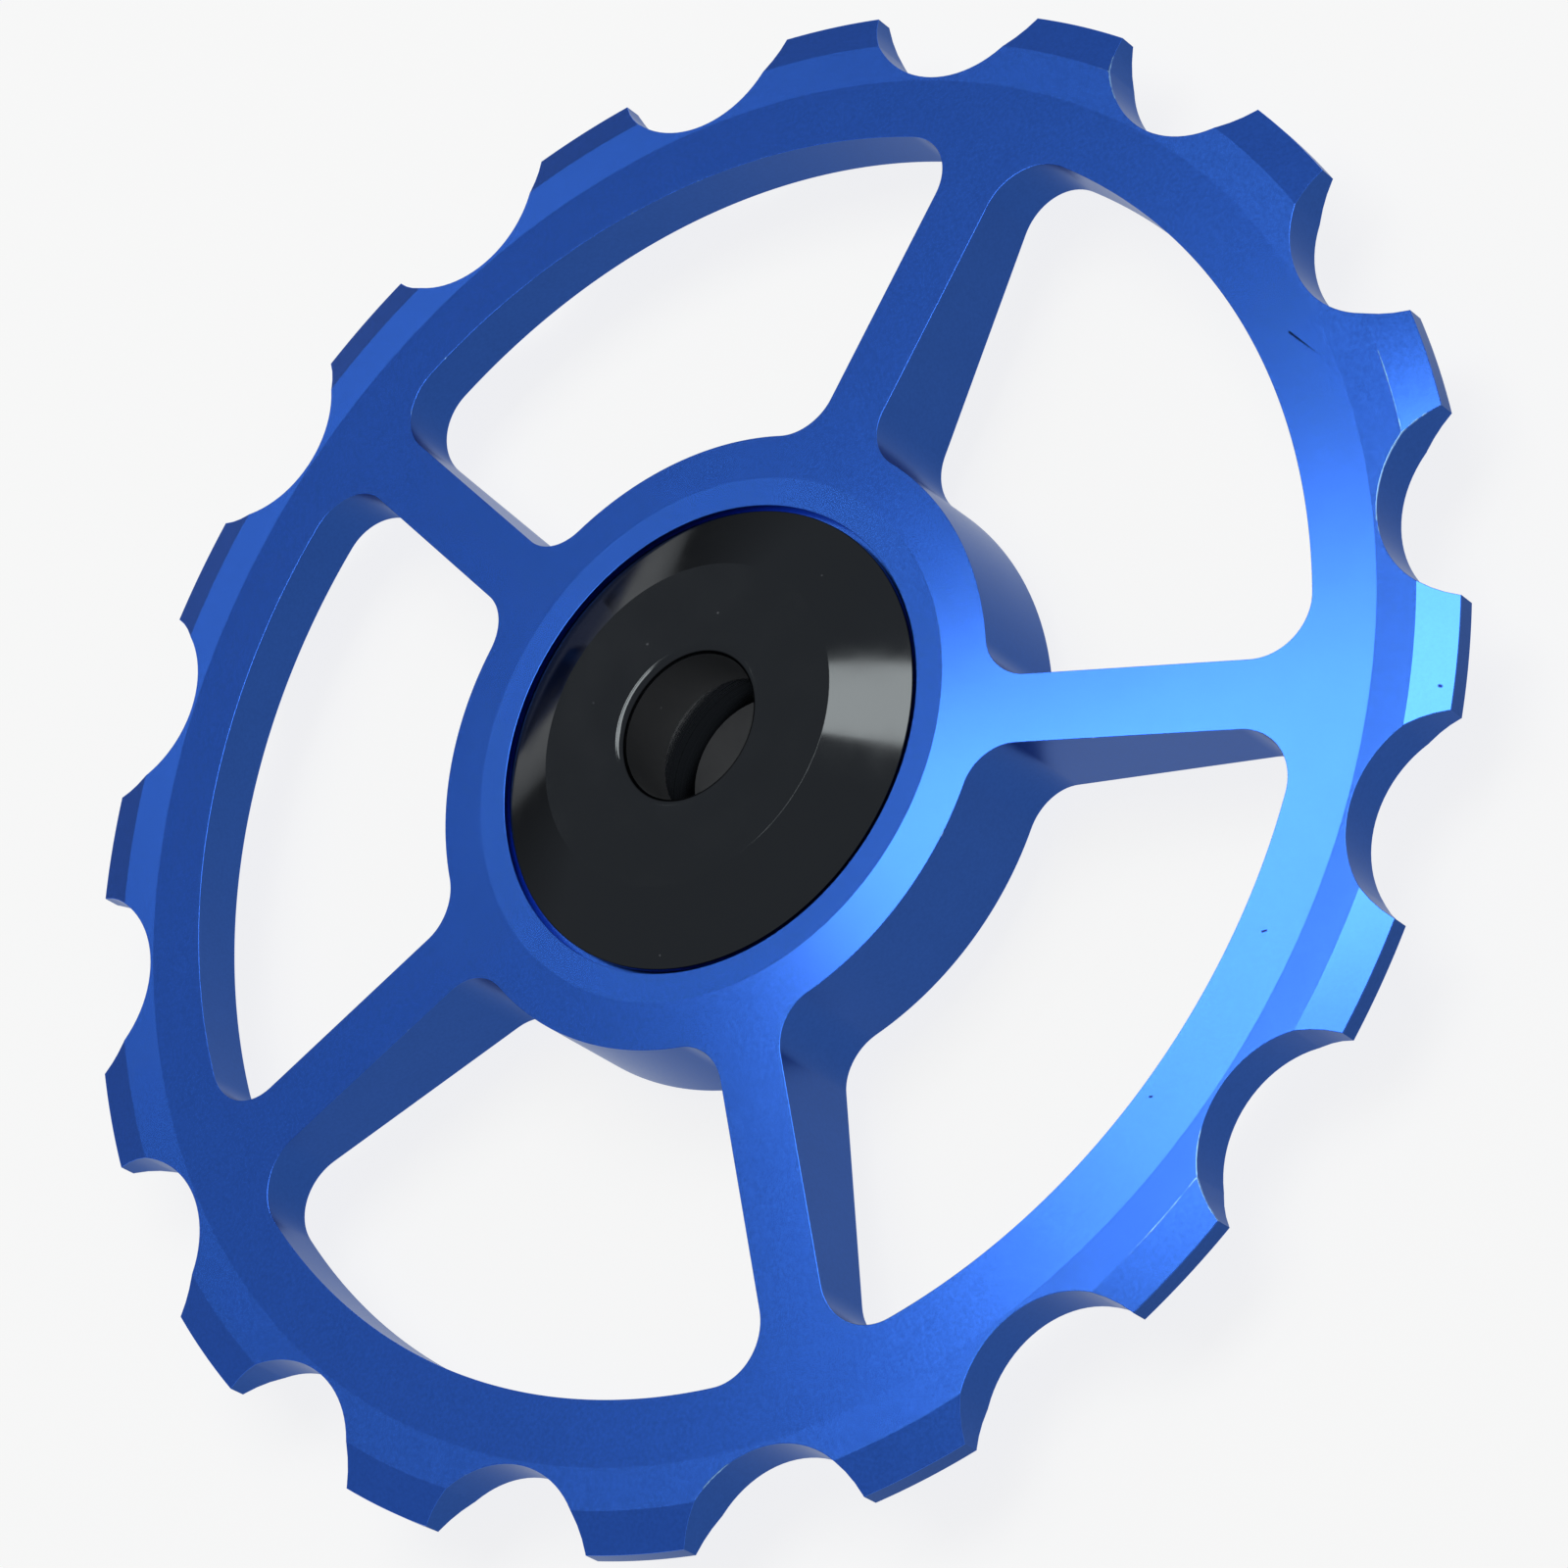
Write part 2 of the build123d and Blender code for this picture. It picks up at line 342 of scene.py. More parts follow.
class WheelShape:
    """The wheel's radii and outlines, worked out from its sizes."""

    # Where the web's rows lie between a window's edge and the web's own rim
    ROW_SHARES = np.array([1.0, 0.8, 0.55, 0.3, 0.12, 0.04, 0.0])
    # Where a wall's rows lie, as shares of its half-height
    WALL_SHARES = np.array([1.0, 0.9, 0.0, -0.9, -1.0])
    # Steps across a rounded edge, along half a window, and along half a valley
    ROUND_STEPS = 4
    OUTER_STEPS, FILLET_STEPS, LINE_STEPS, HUB_STEPS = 48, 10, 10, 24
    VALLEY_STEPS, BEVEL_STEPS = 12, 5

    def __init__(self, sizes):
        self.sizes = sizes
        self.half_tooth = math.pi / sizes.teeth
        self.sector = 2 * math.pi / sizes.spokes
        pitch_radius = sizes.chain_pitch / (2 * math.sin(self.half_tooth))
        self.root = pitch_radius - sizes.roller_diameter / 2 - sizes.seat_drop
        self.seat_centre = self.root + sizes.seat_radius
        self.tip = self.root + sizes.tooth_height
        self.bevel = self.tip - sizes.bevel_length
        self.rim_land = self.root - sizes.land_below_root
        self.window = self.root - sizes.rim_wall
        self.round = sizes.edge_round
        self.tooth_steps = 2 * self.OUTER_STEPS * sizes.spokes // sizes.teeth

    def height(self, radius):
        """Height of the turned front face: flat hub land, tapered web, flat rim land and tooth bevel."""
        sizes = self.sizes
        radii = [sizes.hub_land, self.rim_land, self.bevel, self.tip]
        thicknesses = [sizes.hub_thickness, sizes.rim_thickness, sizes.rim_thickness, sizes.tip_thickness]
        return np.interp(radius, radii, thicknesses) / 2

    def window_half(self, grow):
        """
        Half of a window's outline as complex points, from the middle of the rim to the middle of the hub.

        The first spoke lies on the real axis. The path is the rim's arc, a corner arc that touches rim and
        spoke, a straight run along the spoke, a corner arc that touches spoke and hub, and the hub's arc.
        Growing the window by a distance keeps the corners' centres and moves every stretch outwards.
        """
        sizes = self.sizes
        side = sizes.spoke_width / 2
        outer, inner = sizes.outer_corner, sizes.inner_corner
        outer_reach = math.sqrt((self.window - outer) ** 2 - (side + outer) ** 2)
        inner_reach = math.sqrt((sizes.hub_radius + inner) ** 2 - (side + inner) ** 2)
        outer_centre = complex(outer_reach, side + outer)
        inner_centre = complex(inner_reach, side + inner)
        outer_turn = np.angle(outer_centre)
        inner_turn = np.angle(inner_centre)
        rim_angles = np.linspace(self.sector / 2, outer_turn, self.OUTER_STEPS - self.FILLET_STEPS + 1)
        outer_angles = np.linspace(outer_turn, -math.pi / 2, 2 * self.FILLET_STEPS + 1)
        inner_angles = np.linspace(1.5 * math.pi, math.pi + inner_turn, 2 * self.FILLET_STEPS + 1)
        hub_angles = np.linspace(inner_turn, self.sector / 2, self.HUB_STEPS - self.FILLET_STEPS + 1)
        rim = (self.window + grow) * np.exp(1j * rim_angles)
        outer_arc = outer_centre + (outer + grow) * np.exp(1j * outer_angles)
        run = np.linspace(outer_reach, inner_reach, self.LINE_STEPS + 1) + 1j * (side - grow)
        inner_arc = inner_centre + (inner + grow) * np.exp(1j * inner_angles)
        hub = (sizes.hub_radius - grow) * np.exp(1j * hub_angles)
        return np.concatenate([rim, outer_arc[1:], run[1:], inner_arc[1:], hub[1:]])

    def cell_half(self):
        """Half of the web round a window: along the rim land, down the spoke and along the hub land."""
        ray_steps = 2 * self.FILLET_STEPS + self.LINE_STEPS
        rim = self.rim_land * np.exp(1j * np.linspace(self.sector / 2, 0, self.OUTER_STEPS + 1))
        ray = np.linspace(self.rim_land, self.sizes.hub_land, ray_steps + 1).astype(complex)
        hub = self.sizes.hub_land * np.exp(1j * np.linspace(0, self.sector / 2, self.HUB_STEPS + 1))
        return np.concatenate([rim, ray[1:], hub[1:]])

    def closed(self, half):
        """A closed outline from its first half and that half's mirror image across the window's middle."""
        other = np.conj(half[::-1]) * np.exp(1j * self.sector)
        return np.concatenate([half, other[1:-1], half[:1]])

    def edge_rows(self, outline):
        """
        Rows of a rounded edge: at angle t the outline has grown by round * (1 - sin t) and the edge lies
        round * (1 - cos t) below the face, so it starts along the face and ends along the wall.
        """
        turns = np.radians(np.linspace(0, 90, self.ROUND_STEPS + 1))
        paths = np.stack([outline(self.round * (1 - math.sin(turn))) for turn in turns])
        drops = self.round * (1 - np.cos(turns))
        return lifted(paths, self.height(np.abs(paths)) - drops[:, None])

    def wall(self, edge, cut):
        """A straight wall from the foot of a front edge to its mirror image behind."""
        rows = np.repeat(edge[-1:], len(self.WALL_SHARES), axis=0)
        rows[..., 2] *= self.WALL_SHARES[:, None]
        return Patch(rows, cut=cut)

    def window_patches(self, turn):
        """The web's face round one window, the window's rounded edges and its wall."""
        spin = np.exp(1j * turn)
        edge = self.edge_rows(lambda grow: self.closed(self.window_half(grow)) * spin)
        inner = edge[0, :, 0] + 1j * edge[0, :, 1]
        outer = self.closed(self.cell_half()) * spin
        shares = self.ROW_SHARES[:, None]
        paths = outer * shares + inner * (1 - shares)
        front = [Patch(lifted(paths, self.height(np.abs(paths)))), Patch(edge, EXPOSED)]
        return front + [self.wall(edge, WALL_CUT_AND_SHADING)] + mirrored(front)

    def valley_half(self, grow):
        """
        Half of a valley on the real axis, as complex points from its floor to a tooth's tip.

        The valley is a circle, and by the law of cosines its outline meets the bevel's foot and the tip at
        known angles. Points lie close to those two, so that the wear along an edge stays a thin line.
        """
        radius = self.sizes.seat_radius + grow
        reach = np.array([self.bevel, self.tip - grow])
        sides = self.seat_centre**2 + radius**2 - reach**2
        foot, top = np.arccos(sides / (2 * self.seat_centre * radius))
        guard = WEAR_WIDTH / radius
        land = np.linspace(0, foot - guard, self.VALLEY_STEPS)
        bevel = np.linspace(foot + guard, top - guard, self.BEVEL_STEPS - 1)
        turns = np.concatenate([land, [foot], bevel, [top]])
        return self.seat_centre - radius * np.exp(-1j * turns)

    def tooth_paths(self, flank):
        """
        Paths across a tooth: each runs along the circle through a point of the flank to the other flank.

        A path that touches the flanks has points close beside them, for the same thin line of wear.
        """
        half = self.half_tooth - np.angle(flank)
        across = np.repeat(np.linspace(-1, 1, self.tooth_steps + 1)[None], len(flank), axis=0)
        beside = np.where(np.angle(flank) > 0, 1 - WEAR_WIDTH / (half * np.abs(flank)), across[:, -2])
        across[:, 1] = -beside
        across[:, -2] = beside
        return np.abs(flank)[:, None] * np.exp(1j * (self.half_tooth + half[:, None] * across))

    def tooth_patches(self, turn):
        """One tooth with the valley before it: land, bevel, rounded edges, valley wall and tip."""

        def face(flank):
            return lifted(self.tooth_paths(flank), self.height(np.abs(flank))[:, None])

        def valley(grow):
            half = self.valley_half(grow)
            return np.concatenate([np.conj(half[:0:-1]), half])

        def tip(grow):
            return self.tooth_paths(self.valley_half(grow)[-1:])[0]

        flank = self.valley_half(self.round)
        foot = self.VALLEY_STEPS
        land = face(np.concatenate([[complex(self.rim_land)], flank[:foot + 1]]))
        bevel = face(flank[foot:])
        crest = np.zeros((len(land), 1))
        crest[-1] = 1.0
        valley_edge, tip_edge = self.edge_rows(valley), self.edge_rows(tip)
        front = [Patch(land, crest), Patch(bevel), Patch(valley_edge, EXPOSED), Patch(tip_edge)]
        walls = [self.wall(valley_edge, WALL_CUT_AND_SHADING), self.wall(tip_edge, TIP_CUT_AND_SHADE)]
        patches = front + walls + mirrored(front)
        return [patch._replace(grid=spun(patch.grid, np.exp(1j * turn))) for patch in patches]

    def hub_patches(self):
        """Hub land, rounded recess edge, recess wall, recess floor and the bore for the bearing."""
        recess, land = self.sizes.recess_radius, self.sizes.hub_land
        steps = 2 * self.HUB_STEPS * self.sizes.spokes
        top, floor, bore = self.sizes.hub_thickness / 2, RING_HIGH.z, RING_HIGH.x
        edge = arc((recess + self.round, top - self.round), self.round, 90, 180, self.ROUND_STEPS)
        edge_start = recess + self.round
        land_radii = [land, edge_start + WEAR_WIDTH, edge_start]
        front = [
            Patch(turned(land_radii, [top, top, top], steps), cut=HUB_LAND_CUT_AND_SHADE),
            Patch(turned(*edge, steps), EXPOSED),
            Patch(turned([recess, recess], [top - self.round, floor], steps)),
            Patch(turned([recess, bore], [floor, floor], steps)),
        ]
        return front + [Patch(turned([bore, bore], [floor, -floor], steps))] + mirrored(front)

    def worn(self, patch):
        """
        A patch with its wear: little on most exposed edges, more on rubbed stretches of the front rim.

        A stretch fades with the fourth power of the angle from its middle over its half-width.
        """
        plane = patch.grid[..., 0] + 1j * patch.grid[..., 1]
        azimuth = np.degrees(np.angle(plane))
        middles, halves = RUBBED_STRETCHES.T
        apart = np.abs((azimuth[..., None] - middles + 180) % 360 - 180)
        rubbed = np.exp(-((apart / halves) ** 4)).max(axis=-1)
        front_rim = (np.abs(plane) > self.rim_land) & (patch.grid[..., 2] > 0)
        wear = WEAR_SPARED + (WEAR_RUBBED - WEAR_SPARED) * rubbed * front_rim
        return patch._replace(wear=patch.wear * wear)

    def patches(self):
        """Every patch of the toothed wheel."""
        patches = self.hub_patches()
        for number in range(self.sizes.spokes):
            patches += self.window_patches(number * self.sector)
        for number in range(self.sizes.teeth):
            patches += self.tooth_patches(number * 2 * self.half_tooth)
        return [self.worn(patch) for patch in patches]


def cap_patches(sizes):
    """
    The front end cap: its half-section carried round the axle.

    The section runs up the bore, round its mouth, over the flat face, down the cone, round the thin rim,
    back under the flange to the shoulder, and down the spigot to its end.
    """
    face, rim, end = CAP_HIGH.z, CAP_HIGH.x, CAP_LOW.z
    seat = RING_HIGH.z
    under = seat + sizes.face_gap
    cone_foot = under + sizes.rim_thickness
    slope = math.degrees(math.atan2(face - cone_foot, rim - sizes.flat))
    face_cut = sizes.face_round * math.tan(math.radians(slope / 2))
    rim_cut = sizes.rim_round * math.tan(math.radians((90 - slope) / 2))
    mouth_centre = (sizes.bore + sizes.mouth_round, face - sizes.mouth_round)
    crown_centre = (sizes.flat - face_cut, face - sizes.face_round)
    rim_top_centre = (rim - sizes.rim_round, cone_foot - rim_cut)
    rim_foot_centre = (rim - sizes.rim_round, under + sizes.rim_round)
    mouth = arc(mouth_centre, sizes.mouth_round, 180, 90, MOUTH_STEPS)
    crown = arc(crown_centre, sizes.face_round, 90, 90 - slope, EDGE_STEPS)
    rim_top = arc(rim_top_centre, sizes.rim_round, 90 - slope, 0, EDGE_STEPS)
    rim_foot = arc(rim_foot_centre, sizes.rim_round, 0, -90, EDGE_STEPS)
    bore = ([sizes.bore, sizes.bore], [end, mouth[1][0]])
    polished = [
        mouth,
        ([mouth[0][-1], crown[0][0]], [face, face]),
        crown,
        ([crown[0][-1], rim_top[0][0]], [crown[1][-1], rim_top[1][0]]),
        rim_top,
        ([rim, rim], [rim_top[1][-1], rim_foot[1][0]]),
        rim_foot,
        ([rim_foot[0][-1], sizes.shoulder], [under, under]),
        ([sizes.shoulder, sizes.shoulder], [under, seat]),
        ([sizes.shoulder, sizes.spigot], [seat, seat]),
        ([sizes.spigot, sizes.spigot], [seat, end]),
        ([sizes.spigot, sizes.bore], [end, end]),
    ]
    patches = [Patch(turned(*run, CAP_STEPS)[::-1]) for run in polished]
    # The bore is cut coarser, which makes it duller and paints light into it with a paler colour
    return patches + [Patch(turned(*bore, CAP_STEPS)[::-1], cut=WALL_CUT_AND_SHADING)]


def node(tree, kind, inputs=None, **settings):
    """Add a node, set its properties, and fill its sockets with values or links from other sockets."""
    made = tree.nodes.new(kind)
    for name, value in settings.items():
        setattr(made, name, value)
    for socket, value in (inputs or {}).items():
        if isinstance(value, bpy.types.NodeSocket):
            tree.links.new(value, made.inputs[socket])
        else:
            made.inputs[socket].default_value = value
    return made


def new_material(name):
    """An empty material: itself, its tree, its surface shader, and Object coordinates in millimetres."""
    material = bpy.data.materials.new(name)
    material.use_nodes = True
    tree = material.node_tree
    tree.nodes.clear()
    shader = node(tree, "ShaderNodeBsdfPrincipled")
    node(tree, "ShaderNodeOutputMaterial", {"Surface": shader.outputs["BSDF"]})
    coords = node(tree, "ShaderNodeTexCoord")
    scaled = {0: coords.outputs["Object"], "Scale": 1 / MM}
    place = node(tree, "ShaderNodeVectorMath", scaled, operation="SCALE")
    return material, tree, shader, place.outputs["Vector"]


def mark_mask(tree, place, start, end, half_width):
    """
    A mask of one scratch or pit: above 0 where the line from start to end is nearer than its half-width.

    The nearest point of the line lies at the share of it that the offset from its start projects to.
    """
    run = Vector(end) - Vector(start)
    offset = node(tree, "ShaderNodeVectorMath", {0: place, 1: start}, operation="SUBTRACT")
    along = node(
        tree, "ShaderNodeVectorMath", {0: offset.outputs["Vector"], 1: run / run.length_squared},
        operation="DOT_PRODUCT",
    )
    share = node(tree, "ShaderNodeClamp", {"Value": along.outputs["Value"]})
    nearest = node(
        tree, "ShaderNodeVectorMath", {0: run, "Scale": share.outputs["Result"]}, operation="SCALE"
    )
    gap = node(
        tree, "ShaderNodeVectorMath", {0: offset.outputs["Vector"], 1: nearest.outputs["Vector"]},
        operation="DISTANCE",
    )
    mask = node(
        tree, "ShaderNodeMapRange",
        {"Value": gap.outputs["Value"], "From Min": half_width, "From Max": MARK_CORE * half_width},
    )
    return mask.outputs["Result"]


def blue_anodised_aluminium(colours, marks):
    """
    Machined aluminium, satin-etched and dyed blue in the anodic film.

    The etch spreads reflections into a soft sheen with a fine grain. The film keeps a deep colour, and
    coarse cut walls, tips and the hub land are mixed darker as painted shade. Edges show paler where the
    film is rubbed thin, and a scratch and a few pits dark.
    """
    material, tree, shader, place = new_material("blue_anodised_aluminium_satin_etched")
    # The etch is finer than this, and drawn this coarse so that it shows
    grain_size = 0.14
    cloud_size, cloud_share = 1.6, 0.3
    rubbed_size = 0.35
    tone_range = {"From Min": 0.4, "From Max": 0.9, "To Min": 0.93, "To Max": 1.07}
    rubbed_range = {"From Min": 1.02, "From Max": 1.14}
    etch_range = {"From Min": 0.3, "From Max": 0.7, "To Min": 0.225, "To Max": 0.255}
    coarse_roughness = 0.07
    etch_strength, etch_depth = 0.012, 0.02 * MM
    grain = node(tree, "ShaderNodeTexNoise", {"Vector": place, "Scale": 1 / grain_size, "Detail": 2.0})
    cloud = node(tree, "ShaderNodeTexNoise", {"Vector": place, "Scale": 1 / cloud_size, "Detail": 3.0})
    patchy = node(tree, "ShaderNodeTexNoise", {"Vector": place, "Scale": 1 / rubbed_size, "Detail": 4.0})
    cut = node(tree, "ShaderNodeAttribute", attribute_name="cut")
    wear = node(tree, "ShaderNodeAttribute", attribute_name="wear")

    # Painted shade: coarse cut faces are mixed towards the darker colour
    film = node(
        tree, "ShaderNodeMix",
        {"Factor": cut.outputs["Fac"], 6: rgba(colours.wheel), 7: rgba(colours.cut)}, data_type="RGBA",
    )
    mottle = node(
        tree, "ShaderNodeMath", {0: cloud.outputs["Fac"], 1: cloud_share, 2: grain.outputs["Fac"]},
        operation="MULTIPLY_ADD",
    )
    tone = node(tree, "ShaderNodeMapRange", {"Value": mottle.outputs["Value"], **tone_range})
    dyed = node(
        tree, "ShaderNodeMix", {"Factor": 1.0, 6: film.outputs[2], 7: tone.outputs["Result"]},
        data_type="RGBA", blend_type="MULTIPLY",
    )
    for start, end, half_width in marks:
        mask = mark_mask(tree, place, start, end, half_width)
        dyed = node(
            tree, "ShaderNodeMix", {"Factor": mask, 6: dyed.outputs[2], 7: rgba(colours.mark)},
            data_type="RGBA",
        )
    broken = node(
        tree, "ShaderNodeMath", {0: wear.outputs["Fac"], 1: patchy.outputs["Fac"]}, operation="ADD"
    )
    thin = node(tree, "ShaderNodeMapRange", {"Value": broken.outputs["Value"], **rubbed_range})
    shown = node(
        tree, "ShaderNodeMix",
        {"Factor": thin.outputs["Result"], 6: dyed.outputs[2], 7: rgba(colours.rubbed)}, data_type="RGBA",
    )
    etch = node(tree, "ShaderNodeMapRange", {"Value": grain.outputs["Fac"], **etch_range})
    gloss = node(
        tree, "ShaderNodeMath", {0: cut.outputs["Fac"], 1: coarse_roughness, 2: etch.outputs["Result"]},
        operation="MULTIPLY_ADD",
    )
    bump = node(
        tree, "ShaderNodeBump",
        {"Height": grain.outputs["Fac"], "Strength": etch_strength, "Distance": etch_depth},
    )
    shader.inputs["Metallic"].default_value = 1.0
    shader.inputs["Specular Tint"].default_value = rgba(colours.slant)
    tree.links.new(shown.outputs[2], shader.inputs["Base Color"])
    tree.links.new(gloss.outputs["Value"], shader.inputs["Roughness"])
    tree.links.new(bump.outputs["Normal"], shader.inputs["Normal"])
    return material


def black_anodised_aluminium(colours):
    """
    Turned aluminium, polished and dyed black in the anodic film.

    The black dye swallows most of the light, so the smooth film is a dark mirror: it shows the lamps
    sharply but dim, with faint smears and dust, and the reamed bore is duller and painted paler, as
    painted light in the hole.
    """
    material, tree, shader, place = new_material("black_anodised_aluminium_polished")
    smear_size, dust_spacing = 2.2, 1.7
    dust_range = {"From Min": 0.035, "From Max": 0.02}
    polish_range = {"From Min": 0.35, "From Max": 0.7, "To Min": 0.07, "To Max": 0.12}
    reamed_roughness = 0.65
    smear = node(tree, "ShaderNodeTexNoise", {"Vector": place, "Scale": 1 / smear_size, "Detail": 3.0})
    dust = node(tree, "ShaderNodeTexVoronoi", {"Vector": place, "Scale": 1 / dust_spacing})
    reamed_and_painted_light = node(tree, "ShaderNodeAttribute", attribute_name="cut")
    speck = node(tree, "ShaderNodeMapRange", {"Value": dust.outputs["Distance"], **dust_range})
    # Painted light: the bore is mixed towards a paler colour
    dyed = node(
        tree, "ShaderNodeMix",
        {"Factor": reamed_and_painted_light.outputs["Fac"], 6: rgba(colours.cap), 7: rgba(colours.bore)}, data_type="RGBA",
    )
    shown = node(
        tree, "ShaderNodeMix",
        {"Factor": speck.outputs["Result"], 6: dyed.outputs[2], 7: rgba(colours.dust)}, data_type="RGBA",
    )
    polish = node(tree, "ShaderNodeMapRange", {"Value": smear.outputs["Fac"], **polish_range})
    gloss = node(
        tree, "ShaderNodeMath",
        {0: reamed_and_painted_light.outputs["Fac"], 1: reamed_roughness, 2: polish.outputs["Result"]},
        operation="MULTIPLY_ADD",
    )
    shader.inputs["Metallic"].default_value = 1.0
    shader.inputs["Specular Tint"].default_value = rgba(colours.cap_slant)
    tree.links.new(shown.outputs[2], shader.inputs["Base Color"])
    tree.links.new(gloss.outputs["Value"], shader.inputs["Roughness"])
    return material


def bearing_steel(colours):
    """Ground bearing steel: a bright grey metal with fine grinding lines that run round the axle."""
    material, tree, shader, place = new_material("bearing_steel_ground")
    # The grinding lines are finer than this, and drawn this coarse so that they show
    line_size = 0.06
    gloss_range = {"From Min": 0.3, "From Max": 0.7, "To Min": 0.18, "To Max": 0.32}
    parts = node(tree, "ShaderNodeSeparateXYZ", {"Vector": place})
    flat = node(tree, "ShaderNodeVectorMath", {0: place, 1: (1.0, 1.0, 0.0)}, operation="MULTIPLY")
    radius = node(tree, "ShaderNodeVectorMath", {0: flat.outputs["Vector"]}, operation="LENGTH")
    section = node(tree, "ShaderNodeCombineXYZ", {"X": radius.outputs["Value"], "Y": parts.outputs["Z"]})
    lines = node(
        tree, "ShaderNodeTexNoise",
        {"Vector": section.outputs["Vector"], "Scale": 1 / line_size, "Detail": 2.0},
    )
    gloss = node(tree, "ShaderNodeMapRange", {"Value": lines.outputs["Fac"], **gloss_range})
    tone = node(
        tree, "ShaderNodeMix",
        {"Factor": lines.outputs["Fac"], 6: rgba(colours.steel), 7: rgba(colours.steel_lines)},
        data_type="RGBA",
    )
    shader.inputs["Metallic"].default_value = 1.0
    tree.links.new(tone.outputs[2], shader.inputs["Base Color"])
    tree.links.new(gloss.outputs["Result"], shader.inputs["Roughness"])
    return material


def grained(name, base, shade, grain_size, polish, depth):
    """A moulded or lapped surface whose fine grain shifts its colour, gloss and height a little."""
    material, tree, shader, place = new_material(name)
    smooth, rough = polish
    gloss_range = {"From Min": 0.3, "From Max": 0.7, "To Min": smooth, "To Max": rough}
    grain_strength = 0.3
    grain = node(tree, "ShaderNodeTexNoise", {"Vector": place, "Scale": 1 / grain_size, "Detail": 3.0})
    tone = node(
        tree, "ShaderNodeMix", {"Factor": grain.outputs["Fac"], 6: rgba(base), 7: rgba(shade)},
        data_type="RGBA",
    )
    gloss = node(tree, "ShaderNodeMapRange", {"Value": grain.outputs["Fac"], **gloss_range})
    bump = node(
        tree, "ShaderNodeBump",
        {"Height": grain.outputs["Fac"], "Strength": grain_strength, "Distance": depth},
    )
    tree.links.new(tone.outputs[2], shader.inputs["Base Color"])
    tree.links.new(gloss.outputs["Result"], shader.inputs["Roughness"])
    tree.links.new(bump.outputs["Normal"], shader.inputs["Normal"])
    return material


def studio_paper(colours):
    """
    Matt pale studio paper, which keeps the wheel's soft shadow.

    A painted pool of white light lies round the wheel. It fades far off, and is less in the shade under
    the cap.
    """
    material = bpy.data.materials.new("studio_paper_matt")
    material.use_nodes = True
    tree = material.node_tree
    tree.nodes.clear()
    coords = node(tree, "ShaderNodeTexCoord")
    reach = node(tree, "ShaderNodeVectorMath", {0: coords.outputs["Object"]}, operation="LENGTH")
    # Painted pool of light: the white share fades with the distance from the axle
    fade = {
        "From Min": PAINTED_POOL_START * MM,
        "From Max": PAINTED_POOL_END * MM,
        "To Min": FLOOR_WHITE,
        "To Max": FAR_WHITE,
    }
    painted_light_pool = node(
        tree, "ShaderNodeMapRange", {"Value": reach.outputs["Value"], **fade},
        interpolation_type="SMOOTHSTEP",
    )
    paper = node(tree, "ShaderNodeBsdfDiffuse", {"Color": rgba(colours.floor)})
    white = node(tree, "ShaderNodeEmission", {"Strength": 1.0})
    path = node(tree, "ShaderNodeLightPath")
    mirrored_ray = node(
        tree, "ShaderNodeMath",
        {0: path.outputs["Is Glossy Ray"], 1: path.outputs["Is Transmission Ray"]}, operation="MAXIMUM",
    )
    seen = node(
        tree, "ShaderNodeMath", {0: path.outputs["Is Camera Ray"], 1: mirrored_ray.outputs["Value"]},
        operation="MAXIMUM",
    )
    clear = node(
        tree, "ShaderNodeMath", {0: reach.outputs["Value"], 1: CAP_HIGH.x}, operation="GREATER_THAN"
    )
    shade = node(
        tree, "ShaderNodeMath", {0: clear.outputs["Value"], 1: SHADE_WHITE}, operation="MAXIMUM"
    )
    open_painted_light_pool = node(
        tree, "ShaderNodeMath", {0: shade.outputs["Value"], 1: painted_light_pool.outputs["Result"]},
        operation="MULTIPLY",
    )
    share = node(
        tree, "ShaderNodeMath", {0: seen.outputs["Value"], 1: open_painted_light_pool.outputs["Value"]},
        operation="MULTIPLY",
    )
    mixed = node(
        tree, "ShaderNodeMixShader",
        {0: share.outputs["Value"], 1: paper.outputs["BSDF"], 2: white.outputs["Emission"]},
    )
    node(tree, "ShaderNodeOutputMaterial", {"Surface": mixed.outputs["Shader"]})
    return material


def direction(azimuth, elevation):
    """Unit vector towards an azimuth and an elevation in degrees."""
    turn, rise = math.radians(azimuth), math.radians(elevation)
    return Vector((math.cos(rise) * math.cos(turn), math.cos(rise) * math.sin(turn), math.sin(rise)))


def add_camera():
    """The camera behind its aim, rolled about its line of sight so that the axle leans to the left."""
    back = direction(CAMERA_AZIMUTH, CAMERA_ELEVATION)
    level_right = Vector((0, 0, 1)).cross(back).normalized()
    level_up = back.cross(level_right)
    roll = math.radians(CAMERA_ROLL)
    up = level_up * math.cos(roll) + level_right * math.sin(roll)
    right = up.cross(back)
    data = bpy.data.cameras.new("photo_camera")
    data.lens = CAMERA_LENS
    data.sensor_width = SENSOR_WIDTH
    data.clip_start = CAMERA_NEAR
    camera = bpy.data.objects.new("photo_camera", data)
    camera.rotation_mode = "QUATERNION"
    camera.rotation_quaternion = Matrix((right, up, back)).transposed().to_quaternion()
    camera.location = Vector(CAMERA_AIM) + back * CAMERA_DISTANCE
    bpy.context.scene.collection.objects.link(camera)
    bpy.context.scene.camera = camera


def add_softbox(box):
    """A lamp that faces the wheel. Its power gives the wanted brightness: radiance * pi * area."""
    data = bpy.data.lights.new(box.name, "AREA")
    data.shape = "RECTANGLE"
    data.size, data.size_y = box.width, box.height
    data.color = linear(LAMP_COLOUR)
    data.energy = box.radiance * math.pi * box.width * box.height
    lamp = bpy.data.objects.new(box.name, data)
    towards = direction(box.azimuth, box.elevation)
    facing = (-towards).to_track_quat("-Z", "Y")
    turn = Matrix.Rotation(math.radians(box.turn), 4, "Z").to_quaternion()
    lamp.location = towards * box.distance
    lamp.rotation_mode = "QUATERNION"
    lamp.rotation_quaternion = facing @ turn
    bpy.context.scene.collection.objects.link(lamp)


